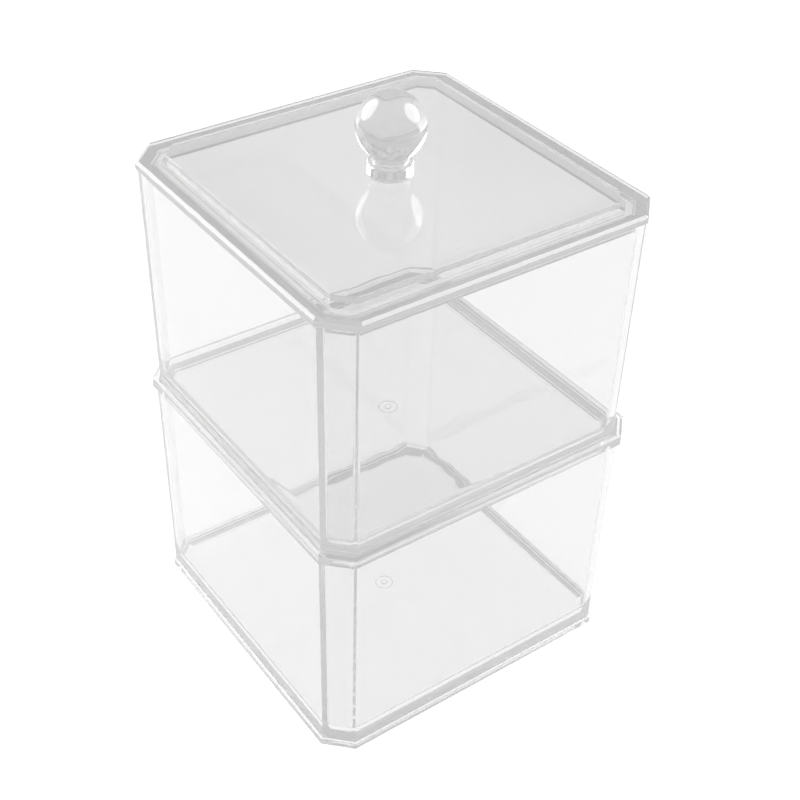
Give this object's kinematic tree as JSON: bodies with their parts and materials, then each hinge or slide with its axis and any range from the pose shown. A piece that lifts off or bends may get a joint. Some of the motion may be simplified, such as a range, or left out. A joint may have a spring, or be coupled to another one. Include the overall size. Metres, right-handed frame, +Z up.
{
  "type": "stackable makeup box",
  "caption": "Clear square storage case with cut corners: stacked open boxes, the upper on a flanged foot, under a lift-off lid with a raised panel and a ball knob.",
  "frame": {"origin": "centre of the base of the lower box, on the surface it stands on", "axes": "+Z up through the knob; -Y and -X are the two walls that face the camera in the picture, alike by symmetry"},
  "size_m": [0.0962, 0.0962, 0.1585],
  "materials": {
    "clear_plastic": "clear, polished mould finish",
    "clear_knob": "clear, solid, polished mould finish"
  },
  "bodies": {
    "lower_tier": {"lower_box": "clear_plastic"},
    "upper_tier": {"upper_box": "clear_plastic"},
    "lid_and_knob": {"lid": "clear_plastic", "knob": "clear_knob"}
  },
  "joints": [
    {"name": "upper_box_lift", "type": "slide", "parent": "lower_tier", "child": "upper_tier", "axis": [0, 0, 1], "range_m": [0, 0.05]},
    {"name": "lid_lift", "type": "slide", "parent": "upper_tier", "child": "lid_and_knob", "axis": [0, 0, 1], "range_m": [0, 0.05]}
  ]
}
